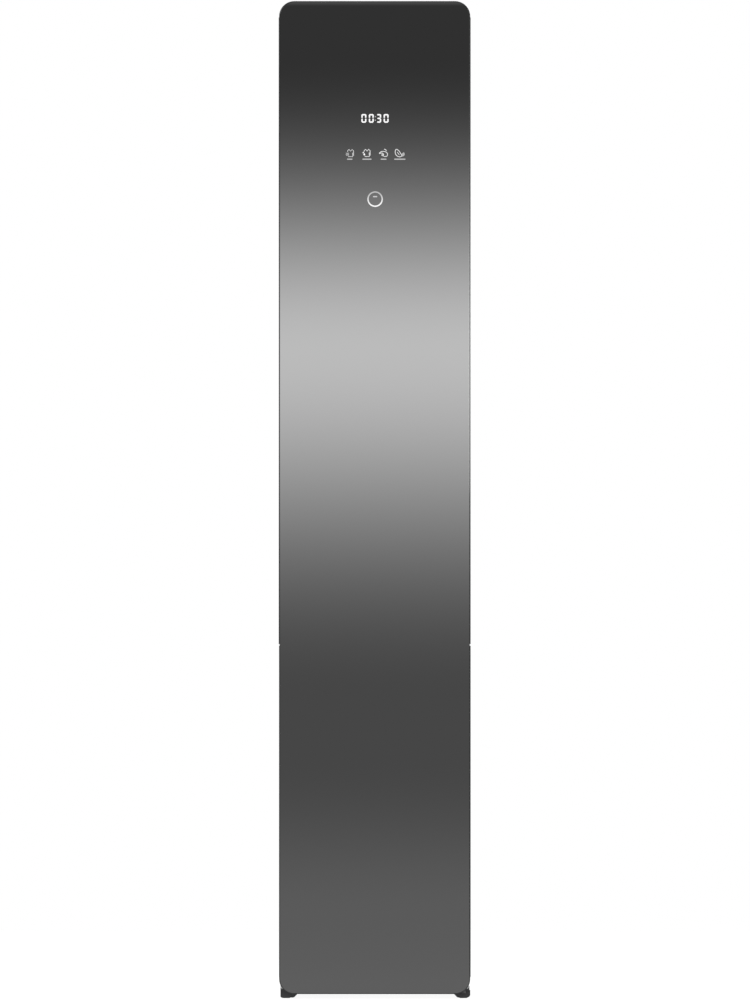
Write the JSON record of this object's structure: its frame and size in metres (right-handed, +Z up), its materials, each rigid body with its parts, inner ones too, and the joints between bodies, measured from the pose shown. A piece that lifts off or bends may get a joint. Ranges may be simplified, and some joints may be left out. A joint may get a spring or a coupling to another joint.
{
  "type": "clothes care steam cabinet",
  "caption": "Tall narrow steam cabinet for garments with a full-height mirror door, shaking hanger bar, trouser press, heat pump and pull-out water tanks.",
  "frame": {"origin": "centre of the bounding box's footprint, on the floor under the feet", "axes": "+Z up, -Y out of the mirror door towards the user, +X to the user's right (hinge side)"},
  "size_m": [0.356, 0.585, 1.85],
  "materials": {
    "mirror_glass": "polished, dark mirror tint",
    "door_black": "satin",
    "strip_dark": "anodised satin",
    "liner_white": "satin",
    "seal_grey": "matte",
    "display_black": "gloss",
    "press_grey": "fine grain",
    "press_dark": "satin",
    "shell_dark": "fine texture powder coat",
    "galvanised": "galvanised",
    "base_dark": "satin",
    "foot_black": "matte",
    "steel_bright": "brushed",
    "foam": "matte foam",
    "lamp": "frosted",
    "filter_blue": "mesh",
    "aroma_white": "gloss",
    "motor_black": "gloss",
    "coil_alu": "bare fins",
    "fan_white": "satin",
    "duct_grey": "matte",
    "copper": "bare copper",
    "hose_grey": "matte",
    "boiler": "cast",
    "pcb_box": "satin",
    "tank_clear": "translucent",
    "tank_lid": "satin",
    "hanger_grey": "satin",
    "inlet_black": "matte",
    "shelf_grey": "satin"
  },
  "bodies": {
    "cabinet": {"side_left": "shell_dark", "side_right": "shell_dark", "top_cover": "shell_dark", "rear_panel": "galvanised", "rear_cover": "galvanised", "front_collar": "liner_white", "lower_fascia": "liner_white", "base_pan": "base_dark", "door_hinges": "base_dark", "hinge_cover": "door_black", "body_screws": "steel_bright", "insulation": "foam", "chamber_left": "liner_white", "chamber_right": "liner_white", "chamber_rear": "liner_white", "chamber_ceiling": "liner_white", "chamber_lamp": "lamp", "chamber_floor": "liner_white", "steam_nozzle": "press_dark", "drive_frame": "galvanised", "drive_motor": "motor_black", "air_duct": "duct_grey", "evaporator": "coil_alu", "condenser": "coil_alu", "fan_scroll": "duct_grey", "fan_motor": "motor_black", "compressor": "motor_black", "compressor_mounts": "foot_black", "refrigerant_pipes": "copper", "steam_generator": "boiler", "drain_pump": "motor_black", "water_hoses": "hose_grey", "control_box": "pcb_box", "tank_bay": "duct_grey", "power_inlet": "inlet_black"},
    "door": {"door_glass": "mirror_glass", "door_frame": "door_black", "door_strips": "strip_dark", "door_grip": "strip_dark", "door_inner": "liner_white", "door_gasket": "seal_grey", "display_module": "display_black", "press_back": "press_dark"},
    "press_board": {"press_board": "press_grey"},
    "hanger_carriage": {"hanger_carriage": "press_dark", "hanger_bar": "steel_bright"},
    "crank": {"crank_disc": "steel_bright"},
    "hanger_left": {"hanger_left": "hanger_grey"},
    "hanger_right": {"hanger_right": "hanger_grey"},
    "shelf": {"garment_shelf": "shelf_grey"},
    "lint_filter": {"lint_filter": "filter_blue"},
    "aroma_case": {"aroma_case": "aroma_white"},
    "supply_tank": {"supply_tank": "tank_clear", "supply_lid": "tank_lid"},
    "drain_tank": {"drain_tank": "tank_clear", "drain_lid": "tank_lid"},
    "impeller": {"fan_impeller": "fan_white"},
    "foot_left": {"foot_left": "foot_black"},
    "foot_right": {"foot_right": "foot_black"}
  },
  "joints": [
    {"name": "door_hinge", "type": "hinge", "parent": "cabinet", "child": "door", "pos_m": [0.162, -0.2765, 0.9], "axis": [0, 0, 1], "range_deg": [0, 110]},
    {"name": "press_hinge", "type": "hinge", "parent": "door", "child": "press_board", "pos_m": [0.118, -0.238, 1.12], "axis": [0, 0, -1], "range_deg": [0, 60]},
    {"name": "hanger_shake", "type": "slide", "parent": "cabinet", "child": "hanger_carriage", "axis": [1, 0, 0], "range_m": [-0.015, 0.015]},
    {"name": "crank_turn", "type": "hinge", "parent": "cabinet", "child": "crank", "pos_m": [0, 0.02, 1.76], "axis": [0, 0, 1], "range_deg": [-57, 57]},
    {"name": "hanger_left_swing", "type": "hinge", "parent": "hanger_carriage", "child": "hanger_left", "pos_m": [-0.045, 0.02, 1.69], "axis": [1, 0, 0], "range_deg": [-12, 12]},
    {"name": "hanger_right_swing", "type": "hinge", "parent": "hanger_carriage", "child": "hanger_right", "pos_m": [0.045, 0.02, 1.69], "axis": [1, 0, 0], "range_deg": [-12, 12]},
    {"name": "shelf_lift", "type": "slide", "parent": "cabinet", "child": "shelf", "axis": [0, 0, 1], "range_m": [0, 0.06]},
    {"name": "lint_filter_lift", "type": "slide", "parent": "cabinet", "child": "lint_filter", "axis": [0, 0, 1], "range_m": [0, 0.05]},
    {"name": "aroma_case_lift", "type": "slide", "parent": "cabinet", "child": "aroma_case", "axis": [0, 0, 1], "range_m": [0, 0.05]},
    {"name": "supply_tank_slide", "type": "slide", "parent": "cabinet", "child": "supply_tank", "axis": [0, -1, 0], "range_m": [0, 0.125]},
    {"name": "drain_tank_slide", "type": "slide", "parent": "cabinet", "child": "drain_tank", "axis": [0, -1, 0], "range_m": [0, 0.082]},
    {"name": "impeller_spin", "type": "hinge", "parent": "cabinet", "child": "impeller", "pos_m": [0, 0.09, 0.53], "axis": [0, 1, 0], "continuous": true},
    {"name": "foot_left_turn", "type": "hinge", "parent": "cabinet", "child": "foot_left", "pos_m": [-0.1645, -0.213, 0.02], "axis": [0, 0, 1], "continuous": true},
    {"name": "foot_right_turn", "type": "hinge", "parent": "cabinet", "child": "foot_right", "pos_m": [0.1645, -0.213, 0.02], "axis": [0, 0, 1], "continuous": true}
  ],
  "couplings": [
    {"joint": "crank_turn", "follows": "hanger_shake", "rad_per_m": 65.1},
    {"joint": "supply_tank_slide", "follows": "door_hinge", "m_per_rad": 0.0625},
    {"joint": "drain_tank_slide", "follows": "door_hinge", "m_per_rad": 0.0405}
  ]
}
